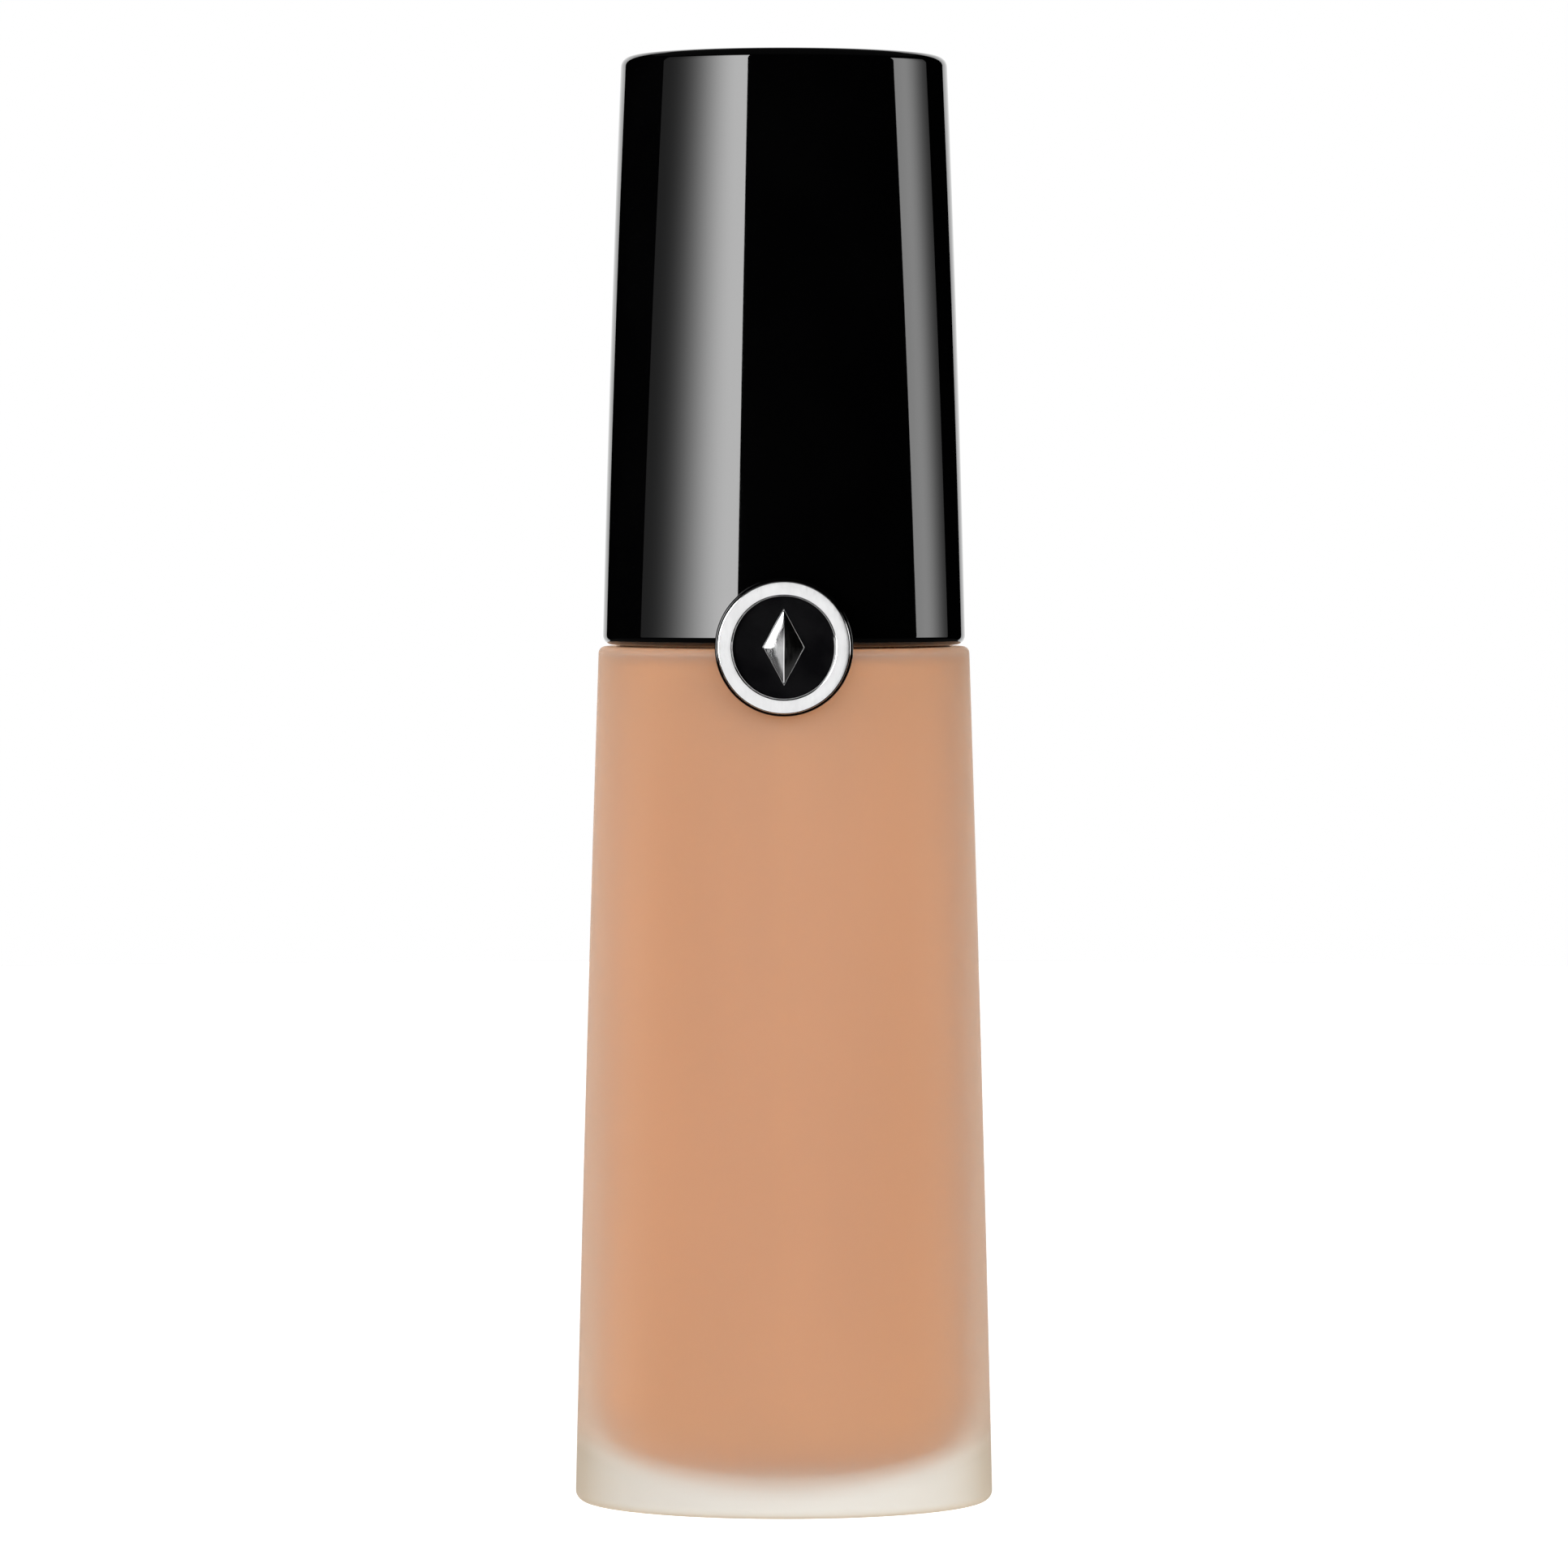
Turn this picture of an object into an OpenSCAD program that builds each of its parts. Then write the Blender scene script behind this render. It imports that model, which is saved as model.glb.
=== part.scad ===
// Slim foundation bottle: a frosted glass body with a wand applicator in its pull-off cap.
// Millimetres. +Z is up, -Y is the front, and the origin is the centre of the foot.

/* [Glass body] */
// Height of the body, from foot to shoulder
body_h = 65.3; // [62:0.1:68]
// Width of the body at the foot
foot_w = 31.9; // [31:0.1:33]
// Depth of the body at the foot
foot_d = 21.8; // [21.2:0.1:22.6]
// Width of the body at the shoulder
shoulder_w = 28.2; // [28:0.1:29.5]
// Depth of the body at the shoulder
shoulder_d = 23.6; // [23.4:0.1:24]
// How far each side swells out at half height
body_swell = 0.075; // [0:0.025:0.2]
// Radius of the foot's edge
foot_r = 0.8; // [0.4:0.1:1.2]
// Radius of the shoulder's edge
shoulder_r = 0.5; // [0.3:0.1:0.6]
// Glass under the cavity
base_t = 2.7; // [2:0.1:3.5]
// Width of the cavity at its floor
cavity_floor_w = 26; // [24.4:0.1:26.4]
// Width of the cavity at its mouth
cavity_mouth_w = 24; // [23:0.1:24.2]
// Depth of the cavity at its floor
cavity_floor_d = 16.4; // [15.6:0.1:17]
// Depth of the cavity at its mouth
cavity_mouth_d = 18.8; // [18.2:0.1:19]
// Radius between the cavity's floor and its wall
cavity_r = 5.5; // [3:0.5:5.5]

/* [Cap] */
// Height of the whole bottle with its cap on
total_h = 110; // [108:0.5:114]
// Gap between the cap's rim and the shoulder
cap_gap = 0.15; // [0.1:0.05:0.3]
// Width of the cap at its rim
rim_w = 27.6; // [27.4:0.1:27.9]
// Depth of the cap at its rim
rim_d = 22.9; // [22.8:0.1:23.2]
// Diameter of the cap's round top
top_dia = 24.7; // [24.5:0.1:25.5]
// How far each side of the cap swells out at half height
cap_swell = 0.1; // [0:0.02:0.16]
// Thickness of the cap's wall
cap_wall = 1.5; // [1.4:0.1:1.6]
// Thickness of the cap's top
cap_top_t = 1.8; // [1.5:0.1:2.5]
// Radius of the rim's edge
rim_r = 0.7; // [0.4:0.1:0.8]
// Radius of the top's edge
top_r = 0.75; // [0.5:0.05:1.2]

/* [Closure] */
// Outer diameter of the round neck
neck_dia = 14.4; // [14.2:0.1:14.6]
// Height of the neck above the shoulder
neck_h = 14.8; // [14.4:0.1:15.6]
// Bore of the neck
neck_bore = 9.4; // [9.2:0.1:9.6]
// How far the snap bead stands out from the neck
bead_out = 0.25; // [0.15:0.05:0.3]
// Diameter of the opening that wipes the wand
orifice_dia = 5; // [5:0.05:5.4]

/* [Wand] */
// Diameter of the stem
stem_dia = 4.2; // [3.8:0.1:4.4]
// Widest diameter of the applicator tip
tip_dia = 4.8; // [4.4:0.05:4.8]
// Length of the applicator tip
tip_len = 14; // [12:0.5:16]
// Height of the tip's lowest point above the cavity's floor
tip_lift = 4; // [3.5:0.5:6]
// Slant of the tip's flat face
tip_slant = 17; // [12:1:20]

/* [Medallion] */
// Diameter of the bright ring
ring_dia = 9.9; // [9.6:0.1:10.2]
// Width of the ring's face
ring_w = 1.1; // [0.8:0.05:1.3]
// Width of the lozenge
lozenge_w = 3; // [2.4:0.1:3.6]
// Height of the lozenge
lozenge_h = 5.6; // [4.8:0.1:6]

/* [Hidden] */

sides = 72;              // straight sides round each oval
edge_steps = 3;          // steps round each small edge
floor_steps = 6;         // steps round the cavity's floor
wall_steps = 6;          // steps up each tall wall
$fn = 72;
hull_fn = 32;
over = 1;                // how far a cut runs past what it cuts
fit = 0.02;              // clearance of pieces that are pressed or glued together
skin = 0.05;             // clearance of the fill and the label in the glass

// The mouth, closed by the neck insert's flange
flange_t = 0.5;
flange_lip = 0.8;        // how far the flange laps over the cavity's edge
mouth_fit = 0.06;
flange_z = body_h - flange_t;
spigot_h = 1.2;          // the step above the flange that centres the cap
spigot_in = 0.1;         // how far the step stands in from the cavity's edge

// The neck, with its snap bead and its two keys
neck_r = neck_dia / 2;
neck_z = body_h + neck_h;
bead_drop = 5.8;         // from the neck's top down to the bead
bead_z = neck_z - bead_drop;
bead_flat = 0.35;        // half the height of the bead's flat
bead_ramp = 0.6;
bead_half = bead_flat + bead_ramp;
bead_r = neck_r + bead_out;
key_out = 2;
key_r = neck_r + key_out;
key_t = 1.6;
key_h = 6;
key_z = body_h + key_h;

// The inner cap round the neck, with a cup for the weight on its roof
snap_gap = 0.05;
key_gap = 0.2;
lift_gap = 0.2;          // gap under the inner cap
sleeve_r = bead_r + snap_gap;
sleeve_t = 1.4;
groove_out = 0.2;        // how deep the bead's groove is cut into the sleeve
inner_z = body_h + spigot_h + lift_gap;
washer_gap = 0.1;
washer_t = 1.2;
washer_z = neck_z + washer_gap;
roof_z = washer_z + washer_t;
roof_t = 2.3;
roof_top = roof_z + roof_t;
web_t = 1.2;
web_lift = 1;            // from the keys up to the side webs
web_z = key_z + web_lift;
plate_t = 1;
plate_gap = 0.15;
cup_t = 1.05;
cup_h = 6.5;
weight_r = 9;
weight_h = 12;
weight_hole_r = 2;
weight_edge = 0.5;

// The wiper
wiper_flange_r = 5.75;
wiper_flange_t = 0.8;
wiper_r = neck_bore / 2 - fit;
wiper_wall = 0.8;
wiper_in_r = wiper_r - wiper_wall;
wiper_len = 11.2;
wiper_z = neck_z - wiper_len;
lip_h = 0.6;
funnel_h = 1.8;

// The stem, with a plug that fills the wiper, and the tip on its spigot
stem_r = stem_dia / 2;
plug_gap = 0.3;
plug_r = wiper_in_r - plug_gap;
plug_len = 8;
plug_taper = 1.4;
stem_collar_r = 4;
stem_head_r = 3;
spigot_r = 1.1;
spigot_len = 5;
socket_len = 5.2;
tip_r = tip_dia / 2;
tip_z = base_t + tip_lift;
stem_z = tip_z + tip_len;
tip_root = 2;            // straight length of the tip next to the stem
tip_belly = 0.4;         // height of the tip's widest place, as a share of its length
nose_share = 0.7;        // radius of the tip's nose, as a share of its widest radius
slant_in = 0.15;         // how far the flat face starts off the axis, as a share of the same
channel_gap = 0.4;
channel_r = tip_r + channel_gap;
channel_z = tip_z - 2 * channel_gap;

// The medallion, built on a plane that faces -Y
medal_rise = 0.2;        // height of the medallion's centre above the shoulder
medal_z = body_h + medal_rise;
medal_gap = 0.37;        // gap between the medallion's back and the glass
ring_r = ring_dia / 2;
hole_r = ring_r - ring_w;
pad_out = 0.3;           // how far the pad stands out past the ring
pad_r = ring_r + pad_out;
pad_y = shoulder_d / 2 + medal_gap;
pad_depth = 2.15;        // how far the pad runs back into the cap's wall
seat_out = 0.2;          // how far the seat stands out past the ring
seat_r = ring_r + seat_out;
seat_t = 0.75;
recess_t = 0.35;
backing_in = 0.1;        // how far the emblem's backing lies inside the ring
backing_r = ring_r - backing_in;
ring_t = 0.5;
ring_bevel = 0.12;
infill_t = 0.12;
lozenge_wall = 0.24;
lozenge_t = 0.45;
pin_r = 0.6;
pin_head_r = 1;
pin_head_t = 0.35;
pin_x = 2.2;
pin_up = 3.6;            // height of the pins above the medallion's centre

// The recess under the foot, and the label in it
recess_in = [3, 2.8];    // width of the foot's standing rim at its sides and at its front
recess_h = 0.25;
label_t = 0.1;

cap_z = body_h + cap_gap;
ceiling_z = total_h - cap_top_t;

function lerp(a, b, t) = a + (b - a) * t;
function swell(t) = 4 * t * (1 - t);

// Half width and half depth of the body, the cap and the cavity at height z
body_half = function(z) let (t = z / body_h) [
    lerp(foot_w, shoulder_w, t) / 2 + body_swell * swell(t),
    lerp(foot_d, shoulder_d, t) / 2
];
cap_half = function(z) let (t = (z - cap_z) / (total_h - cap_z)) [
    lerp(rim_w, top_dia, t) / 2 + cap_swell * swell(t),
    lerp(rim_d, top_dia, t) / 2
];
cavity_half = function(z) let (t = (z - base_t) / (flange_z - base_t)) [
    lerp(cavity_floor_w, cavity_mouth_w, t) / 2,
    lerp(cavity_floor_d, cavity_mouth_d, t) / 2
];

// A ring is [half width, half depth, height], drawn in from a half size by inset
function ring(half, inset, z) = [half.x - inset, half.y - inset, z];
function inside(half, inset) = [half.x - inset, half.y - inset];

// Depth of an oval's flat-sided outline at width x
function depth_at(half, x) = half.y * sqrt(1 - pow(x / half.x, 2)) * cos(180 / sides);

// Rings round a wall's lower edge of radius r, standing on z, from its foot outwards
function low_edge(half, z, r, inset, steps) = [for (i = [0:steps])
    let (a = 90 * i / steps, at = z + r * (1 - cos(a)))
    ring(half(at), inset + r * (1 - sin(a)), at)];

// Rings round a wall's upper edge of radius r, under z, from the wall inwards
function high_edge(half, z, r) = [for (i = [0:edge_steps])
    let (a = 90 * i / edge_steps, at = z - r * (1 - sin(a)))
    ring(half(at), r * (1 - cos(a)), at)];

// Rings between two heights, after the first and up to the last
function wall(half, z0, z1, inset) = [for (i = [1:wall_steps])
    let (z = lerp(z0, z1, i / wall_steps)) ring(half(z), inset, z)];

// The outside of a tall wall with both its edges rounded
function outside(half, z0, z1, r0, r1) = concat(
    low_edge(half, z0, r0, 0, edge_steps),
    wall(half, z0 + r0, z1 - r1, 0),
    high_edge(half, z1, r1)
);

// The cavity from its floor up to height top, drawn in by inset all round
function cavity(inset, top) = concat(
    low_edge(cavity_half, base_t + inset, cavity_r, inset, floor_steps),
    wall(cavity_half, base_t + inset + cavity_r, top, inset)
);
function reversed(list) = [for (i = [len(list) - 1:-1:0]) list[i]];

// The stake pins run through the cap's wall, with their heads against its inner face
pin_wall = inside(cap_half(medal_z + pin_up - pin_head_r), cap_wall);
pin_len = pad_y - depth_at(pin_wall, pin_x + pin_head_r) + pin_head_t + fit;

function oval_points(half) = [for (i = [0:sides - 1])
    let (a = 360 * i / sides) [half.x * cos(a), half.y * sin(a)]];

// Skins a list of rings into one closed solid, with a flat face at its first and last ring
module oval_loft(rings) {
    last = len(rings) - 1;
    points = [for (r = rings) for (p = oval_points(r)) [p.x, p.y, r.z]];
    walls = [for (k = [0:last - 1]) for (i = [0:sides - 1])
        let (j = (i + 1) % sides)
        [k * sides + i, (k + 1) * sides + i, (k + 1) * sides + j, k * sides + j]];
    first_face = [for (i = [0:sides - 1]) i];
    last_face = [for (i = [sides - 1:-1:0]) last * sides + i];
    polyhedron(points, concat([first_face], walls, [last_face]));
}

module oval_plate(half, z, h) {
    translate([0, 0, z]) linear_extrude(h) polygon(oval_points(half));
}

module rod(r, z, h) {
    translate([0, 0, z]) cylinder(r = r, h = h);
}

// Stands what is drawn flat on Z = 0 against the medallion's plane, facing the front
module on_front(y) {
    translate([0, -y, medal_z]) rotate([90, 0, 0]) children();
}

// Puts its children at each stake pin, on the seat's back face
module pin_places() {
    on_front(pad_y) for (side = [-1, 1]) translate([side * pin_x, pin_up, 0]) children();
}

module glass_bottle() {
    mouth = inside(cavity_half(flange_z), -flange_lip - mouth_fit);
    color("gainsboro", 0.6) difference() {
        oval_loft(concat(
            outside(body_half, 0, body_h, foot_r, shoulder_r),
            [ring(mouth, 0, body_h), ring(mouth, 0, flange_z)],
            reversed(cavity(0, flange_z))
        ));
        oval_plate(body_half(0) - recess_in, -over, over + recess_h);
    }
}

module foundation_fill() {
    color("peru") difference() {
        oval_loft(cavity(skin, flange_z - 2 * skin));
        rod(channel_r, channel_z, body_h);
    }
}

module neck_insert() {
    mouth = cavity_half(flange_z);
    color("linen") difference() {
        union() {
            oval_plate(inside(mouth, -flange_lip), flange_z, flange_t);
            oval_plate(inside(mouth, spigot_in), body_h, spigot_h);
            rod(neck_r, body_h, neck_h);
            rotate_extrude() polygon([
                [0, bead_z - bead_half],
                [neck_r, bead_z - bead_half],
                [bead_r, bead_z - bead_flat],
                [bead_r, bead_z + bead_flat],
                [neck_r, bead_z + bead_half],
                [0, bead_z + bead_half]
            ]);
            translate([-key_r, -key_t / 2, body_h]) cube([2 * key_r, key_t, key_h]);
        }
        rod(neck_bore / 2, flange_z - over, neck_h + flange_t + 2 * over);
        rod(wiper_flange_r + fit, neck_z - wiper_flange_t, wiper_flange_t + over);
    }
}

module wiper() {
    lip_r = orifice_dia / 2;
    color("whitesmoke") rotate_extrude() polygon([
        [lip_r, wiper_z],
        [lip_r + wiper_wall, wiper_z],
        [wiper_r, wiper_z + funnel_h],
        [wiper_r, neck_z - wiper_flange_t + fit],
        [wiper_flange_r, neck_z - wiper_flange_t + fit],
        [wiper_flange_r, neck_z],
        [wiper_in_r, neck_z],
        [wiper_in_r, wiper_z + lip_h + funnel_h],
        [lip_r, wiper_z + lip_h]
    ]);
}

module base_label() {
    color("white") oval_plate(inside(body_half(0) - recess_in, skin), recess_h - label_t, label_t);
}

module cap_shell() {
    color("#0b0b0d") difference() {
        union() {
            oval_loft(concat(
                [ring(cap_half(ceiling_z), cap_wall, ceiling_z)],
                wall(cap_half, ceiling_z, cap_z, cap_wall),
                outside(cap_half, cap_z, total_h, rim_r, top_r)
            ));
            intersection() {
                on_front(pad_y - pad_depth) cylinder(r = pad_r, h = pad_depth);
                translate([-pad_r, -2 * pad_y, cap_z]) cube([2 * pad_r, 2 * pad_y, 2 * pad_r]);
            }
        }
        pin_places() translate([0, 0, -pin_len]) cylinder(r = pin_r + fit, h = pin_len + over);
    }
}

module inner_cap() {
    low = inside(cap_half(inner_z), cap_wall + plate_gap);
    high = inside(cap_half(roof_top), cap_wall + plate_gap);
    color("darkgray") difference() {
        union() {
            rod(sleeve_r + sleeve_t, inner_z, roof_top - inner_z);
            oval_plate(low, inner_z, plate_t);
            translate([-high.x, -web_t / 2, web_z]) cube([2 * high.x, web_t, roof_top - web_z]);
            translate([-web_t / 2, -low.y, inner_z]) cube([web_t, 2 * low.y, roof_top - inner_z]);
            rod(weight_r + cup_t, roof_z, roof_t + cup_h);
        }
        rod(sleeve_r, inner_z - over, roof_z - inner_z + over);
        rod(sleeve_r + groove_out, bead_z - bead_half, 2 * bead_half);
        translate([-key_r - key_gap, -key_t / 2 - key_gap, inner_z - over])
            cube([2 * (key_r + key_gap), key_t + 2 * key_gap, key_z + key_gap - inner_z + over]);
        rod(stem_head_r + fit, roof_z - over, roof_t + 2 * over);
        rod(weight_r + fit, roof_top, cup_h + over);
    }
}

module cap_weight() {
    color("silver") translate([0, 0, roof_top + fit]) rotate_extrude() polygon([
        [weight_hole_r, 0],
        [weight_r - weight_edge, 0],
        [weight_r, weight_edge],
        [weight_r, weight_h - weight_edge],
        [weight_r - weight_edge, weight_h],
        [weight_hole_r, weight_h]
    ]);
}

module seal_washer() {
    color("white") difference() {
        rod(neck_r, washer_z, washer_t - fit);
        rod(stem_collar_r + fit, washer_z - over, washer_t + 2 * over);
    }
}

module wand_stem() {
    plug_z = neck_z - plug_len;
    color("dimgray") difference() {
        rotate_extrude() polygon([
            [0, stem_z],
            [stem_r, stem_z],
            [stem_r, plug_z - plug_taper],
            [plug_r, plug_z],
            [plug_r, washer_z],
            [stem_collar_r, washer_z],
            [stem_collar_r, roof_z - fit],
            [stem_head_r, roof_z - fit],
            [stem_head_r, roof_top],
            [0, roof_top]
        ]);
        rod(spigot_r, stem_z - over, socket_len + over);
    }
}

module applicator_tip() {
    nose_r = nose_share * tip_r;
    color("bisque") {
        difference() {
            hull() {
                rod(stem_r, stem_z - tip_root - fit, tip_root);
                translate([0, 0, tip_z + tip_belly * tip_len]) sphere(r = tip_r, $fn = hull_fn);
                translate([0, 0, tip_z + nose_r]) sphere(r = nose_r, $fn = hull_fn);
            }
            translate([0, -slant_in * tip_r, tip_z]) rotate([tip_slant, 0, 0])
                translate([-tip_dia, -2 * tip_dia, -over]) cube([2 * tip_dia, 2 * tip_dia, tip_len]);
        }
        rod(spigot_r - fit, stem_z - tip_root / 2, spigot_len + tip_root / 2 - fit);
    }
}

module medallion_seat() {
    color("#0b0b0d") {
        on_front(pad_y) difference() {
            cylinder(r = seat_r, h = seat_t);
            translate([0, 0, seat_t - recess_t]) cylinder(r = backing_r + fit, h = recess_t + over);
        }
        pin_places() translate([0, 0, -pin_len]) {
            cylinder(r = pin_r, h = pin_len + fit);
            cylinder(r = pin_head_r, h = pin_head_t);
        }
    }
}

module medallion_emblem() {
    color("silver") on_front(pad_y + seat_t) {
        translate([0, 0, fit - recess_t]) cylinder(r = backing_r, h = recess_t);
        rotate_extrude() polygon([
            [hole_r, 0],
            [ring_r, 0],
            [ring_r, ring_t - ring_bevel],
            [ring_r - ring_bevel, ring_t],
            [hole_r + ring_bevel, ring_t],
            [hole_r, ring_t - ring_bevel]
        ]);
        lozenge();
    }
}

function lozenge_corners() = [
    [lozenge_w / 2, 0], [0, lozenge_h / 2], [-lozenge_w / 2, 0], [0, -lozenge_h / 2]
];

// Four facets that rise from a low wall and meet at a point over the middle
module lozenge() {
    foot = [for (p = lozenge_corners()) [p.x, p.y, 0]];
    brim = [for (p = lozenge_corners()) [p.x, p.y, lozenge_wall]];
    peak = [0, 0, lozenge_t];
    walls = [for (i = [0:3]) let (j = (i + 1) % 4) [i, i + 4, j + 4, j]];
    facets = [for (i = [0:3]) let (j = (i + 1) % 4) [i + 4, 8, j + 4]];
    polyhedron(concat(foot, brim, [peak]), concat([[0, 1, 2, 3]], walls, facets));
}

module emblem_infill() {
    color("black") on_front(pad_y + seat_t + 2 * fit) linear_extrude(infill_t) difference() {
        circle(r = hole_r - fit);
        offset(delta = fit) polygon(lozenge_corners());
    }
}

glass_bottle();
foundation_fill();
neck_insert();
wiper();
base_label();
cap_shell();
inner_cap();
cap_weight();
seal_washer();
wand_stem();
applicator_tip();
medallion_seat();
medallion_emblem();
emblem_infill();
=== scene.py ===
"""A slim frosted glass foundation bottle with its gloss black cap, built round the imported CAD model.

The object's lengths are in millimetres and become metres where its meshes are made. The stage, the lights
and the camera are in metres.
"""

import math

import bmesh
import bpy
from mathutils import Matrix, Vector


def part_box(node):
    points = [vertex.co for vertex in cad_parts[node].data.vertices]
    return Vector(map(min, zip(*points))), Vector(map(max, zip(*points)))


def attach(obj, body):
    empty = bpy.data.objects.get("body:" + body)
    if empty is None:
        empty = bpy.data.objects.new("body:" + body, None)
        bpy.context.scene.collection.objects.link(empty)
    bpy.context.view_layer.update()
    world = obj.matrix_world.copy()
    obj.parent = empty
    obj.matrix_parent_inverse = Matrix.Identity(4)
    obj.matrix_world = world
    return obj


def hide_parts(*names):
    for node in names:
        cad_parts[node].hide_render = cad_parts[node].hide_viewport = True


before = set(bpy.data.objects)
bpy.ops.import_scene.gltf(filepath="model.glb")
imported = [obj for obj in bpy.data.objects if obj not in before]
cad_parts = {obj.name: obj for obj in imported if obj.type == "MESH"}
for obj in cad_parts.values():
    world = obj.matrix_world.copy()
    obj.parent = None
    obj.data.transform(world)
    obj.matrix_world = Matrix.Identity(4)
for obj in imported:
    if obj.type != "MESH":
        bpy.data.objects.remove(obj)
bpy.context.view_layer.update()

MM = 0.001
SIDES = 256              # straight sides round the large ovals
FINE = 128               # straight sides round the small turned pieces
STEPS = 8                # steps round an edge that shows

# Gaps and overlaps
FIT = 0.02
SKIN = 0.05              # gap between the fill and the glass in the CAD model
WETTING = 0.03           # how far the fill runs into the glass, so that no air shows between them
SUPPORT = 0.06           # distance of the ring that holds a wall's shading next to a round edge
WELD = 0.0002            # points nearer than this are one

# The glass and what it holds
FOOT_R = 0.8
SHOULDER_R = 0.5
MOUTH_R = 0.12
PUSH_UP = 0.2            # height of the dome under the foot
DOME = (0.15, 0.3, 0.45, 0.6, 0.7, 0.78, 0.82)   # shares of the foot at which the dome has a ring
DOME_LIP = ((0.85, 0.03), (0.88, 0.0))           # share of the foot and height, out to the flat ring
CAVITY_R = 5.5
CAVITY_STEPS = 16
CHANNEL_R = 2.8          # the space that the wand keeps clear in the fill
CHANNEL_GAP = 0.4
CHANNEL_STEPS = 12
FILL_TOP = (1.5, 4.0)    # insets of the rings across the fill's top

# The neck insert
STEP_IN = 0.9            # how far the step lies inside the flange
STEP_H = 1.2
STEP_R = 0.25
FLANGE_R = 0.08
NECK_EDGE = 0.4          # the neck's upper edge
BEAD_DOWN = 5.8          # from the neck's top to the bead
BEAD_RISE = 0.25
BEAD_STEPS = 6
BEAD_STEP = 0.1          # height of each step up a flank of the bead
NECK_BORE = 4.7
WIPER_SEAT = (5.77, 0.8)    # radius and depth of the step that the wiper's flange sits in
KEY = (9.2, 0.8, 6.0)    # half length, half width and height
KEY_EDGE = 0.2

# The wiper
SLEEVE = (4.68, 3.88)    # outer and inner radius
LIP = 2.5                # radius of the wiping lip
SLEEVE_FLANGE = 0.78

# The cap
RIM_R = 0.7
TOP_R = 0.75
TOP_CROWN = 0.02         # how far the cap's top edge lies under its middle
TOP_RINGS = (0.97, 0.85, 0.65, 0.4, 0.2)         # shares of the top at which it has a ring
WALL = 1.5               # the cap's wall
CEILING = 1.8            # the cap's top
CEILING_R = 0.6          # corner between the wall and the ceiling
CEILING_RINGS = (3, 6, 9)
MOUTH_BREAK = 0.15       # the bevel at the wall's inner edge

# The wand and its tip
ROD_R = 2.1
PLUG_R = 3.58
PLUG_DOWN = 8.0          # from the neck's top to the plug's lower end
TAPER_DOWN = 9.9         # from the neck's top to where the rod starts to widen
HEAD_R = 3.0
COLLAR_T = 1.28
TIP_SLANT = 17           # degrees
TIP_SOFTNESS = 0.35
TIP_SIDES = 96
TIP_STEPS = (10, 40)     # up the nose, and from there to the root

# The medallion
PAD_OUT = 0.1            # how far the cap's boss stands out past the seat
PAD_FILLET = 0.35        # radius where the boss runs into the cap's wall
PAD_EDGE = 0.12
PAD_ROOT = 1.3           # how deep the boss is rooted in the wall
BOSS_GAP = 0.03          # how far above the rim the boss is cut off
SEAT_T = 0.75
SEAT_EDGE = 0.16
RECESS_T = 0.35
PIN_R = 0.6
PIN_SIDES = 48
PIN_HEAD = (1.0, 0.35)   # radius and thickness
PIN_X = 2.2
PIN_UP = 3.6
HOLE_SIDES = 32
STEP_BACK = 0.1          # how far the ring's backing lies inside the ring
RING_T = 0.5
RING_W = 1.1
RING_EDGE = 0.11
LOZENGE = (3.0, 5.6)     # width and height
LOZENGE_ROOT = 0.2       # how deep it is rooted in the backing
LOZENGE_WALL = 0.24
LOZENGE_T = 0.45
LOZENGE_EDGE = 0.06
INFILL_T = 0.12
INFILL_STEPS = 24
CREEP = (0.05, 12)       # how far the lacquer climbs the metal, and how suddenly


# ---------------------------------------------------------------- the frame's sizes

def box(node):
    """The low and high corners of a CAD node, in millimetres."""
    low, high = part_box(node)
    return low / MM, high / MM


def ring_near(node, z):
    """Height, half width and half depth of a CAD node's outline at its ring nearest height z."""
    points = [v.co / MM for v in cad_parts[node].data.vertices]
    nearest = min(points, key=lambda p: abs(p.z - z)).z
    level = [p for p in points if abs(p.z - nearest) < 0.001]
    return nearest, max(p.x for p in level), max(p.y for p in level)


def outline(node, low, high):
    """Half width and half depth of a CAD node at any height, through its outline at three heights."""
    rings = [ring_near(node, z) for z in (low, (low + high) / 2, high)]

    def half(z):
        shares = []
        for i, (zi, _, _) in enumerate(rings):
            others = [zj for j, (zj, _, _) in enumerate(rings) if j != i]
            shares.append(math.prod((z - zj) / (zi - zj) for zj in others))
        return tuple(sum(s * r[axis] for s, r in zip(shares, rings)) for axis in (1, 2))

    return half


glass_high = box("glass_bottle")[1]
fill_low, fill_high = box("foundation_fill")
cap_low, cap_high = box("cap_shell")
insert_low, insert_high = box("neck_insert")
seat_low, seat_high = box("medallion_seat")
emblem_low, emblem_high = box("medallion_emblem")
stem_low, stem_high = box("wand_stem")
tip_low, tip_high = box("applicator_tip")
wiper_low, wiper_high = box("wiper")

body_half = outline("glass_bottle", FOOT_R, glass_high.z - SHOULDER_R)
cap_half = outline("cap_shell", cap_low.z + RIM_R, cap_high.z - TOP_R)
fill_half = outline("foundation_fill", fill_low.z + CAVITY_R, fill_high.z)

medal_z = (emblem_low.z + emblem_high.z) / 2
ring_r = (emblem_high.x - emblem_low.x) / 2
hole_r = ring_r - RING_W
seat_r = (seat_high.x - seat_low.x) / 2
pad_r = seat_r + PAD_OUT
seat_front = emblem_low.y + RING_T
pad_y = seat_front + SEAT_T


# ---------------------------------------------------------------- mesh work

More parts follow.
